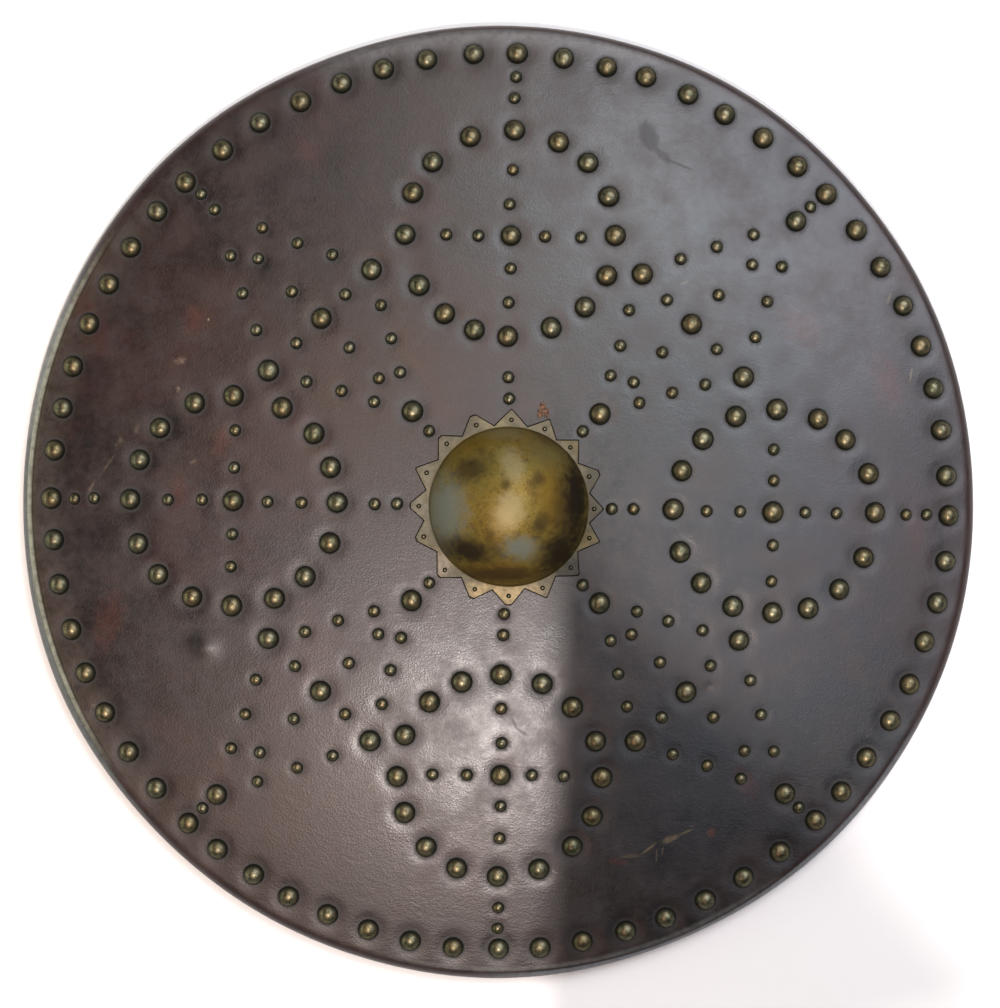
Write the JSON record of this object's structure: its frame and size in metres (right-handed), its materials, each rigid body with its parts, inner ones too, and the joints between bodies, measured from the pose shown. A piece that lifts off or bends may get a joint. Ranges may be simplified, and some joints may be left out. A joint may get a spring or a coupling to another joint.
{
  "type": "round shield",
  "caption": "Round Highland targe: a dished board covered in dark studded leather, a brass boss with a toothed flange, and a leather arm strap and hand grip behind.",
  "frame": {"origin": "on the ground under the middle of the board, which lies face up", "axes": "+Z out of the face through the boss, +Y towards the top of the stud pattern, +X towards its right; the forearm lies along X behind"},
  "size_m": [0.4814, 0.4829, 0.0635],
  "materials": {
    "face_leather": "dark purple-brown hide, semi-gloss, scuffed",
    "back_hide": "plain matt hide",
    "strap_leather": "worn brown leather",
    "boss_brass": "brushed brass with dark patina",
    "stud_brass": "darkened brass"
  },
  "bodies": {
    "root": {"arm_strap": "strap_leather", "arm_strap_nail_1": "stud_brass", "arm_strap_nail_2": "stud_brass", "arm_strap_nail_3": "stud_brass", "arm_strap_nail_4": "stud_brass", "back_lining": "back_hide", "board": "face_leather", "boss": "boss_brass", "boss_pin_01": "stud_brass", "boss_pin_02": "stud_brass", "boss_pin_03": "stud_brass", "boss_pin_04": "stud_brass", "boss_pin_05": "stud_brass", "boss_pin_06": "stud_brass", "boss_pin_07": "stud_brass", "boss_pin_08": "stud_brass", "boss_pin_09": "stud_brass", "boss_pin_10": "stud_brass", "boss_pin_11": "stud_brass", "boss_pin_12": "stud_brass", "boss_pin_13": "stud_brass", "boss_pin_14": "stud_brass", "boss_pin_15": "stud_brass", "boss_pin_16": "stud_brass", "hand_grip": "strap_leather", "hand_grip_nail_1": "stud_brass", "hand_grip_nail_2": "stud_brass", "hand_grip_nail_3": "stud_brass", "hand_grip_nail_4": "stud_brass", "stud_inner_northeast": "stud_brass", "stud_inner_northwest": "stud_brass", "stud_inner_southeast": "stud_brass", "stud_inner_southwest": "stud_brass", "stud_lozenge_northeast": "stud_brass", "stud_lozenge_northeast_left": "stud_brass", "stud_lozenge_northeast_right": "stud_brass", "stud_lozenge_northwest": "stud_brass", "stud_lozenge_northwest_left": "stud_brass", "stud_lozenge_northwest_right": "stud_brass", "stud_lozenge_southeast": "stud_brass", "stud_lozenge_southeast_left": "stud_brass", "stud_lozenge_southeast_right": "stud_brass", "stud_lozenge_southwest": "stud_brass", "stud_lozenge_southwest_left": "stud_brass", "stud_lozenge_southwest_right": "stud_brass", "stud_outer_northeast": "stud_brass", "stud_outer_northwest": "stud_brass", "stud_outer_southeast": "stud_brass", "stud_outer_southwest": "stud_brass", "stud_rim_east": "stud_brass", "stud_rim_north": "stud_brass", "stud_rim_south": "stud_brass", "stud_rim_west": "stud_brass", "stud_roundel_east": "stud_brass", "stud_roundel_north": "stud_brass", "stud_roundel_south": "stud_brass", "stud_roundel_west": "stud_brass"}
  },
  "joints": []
}
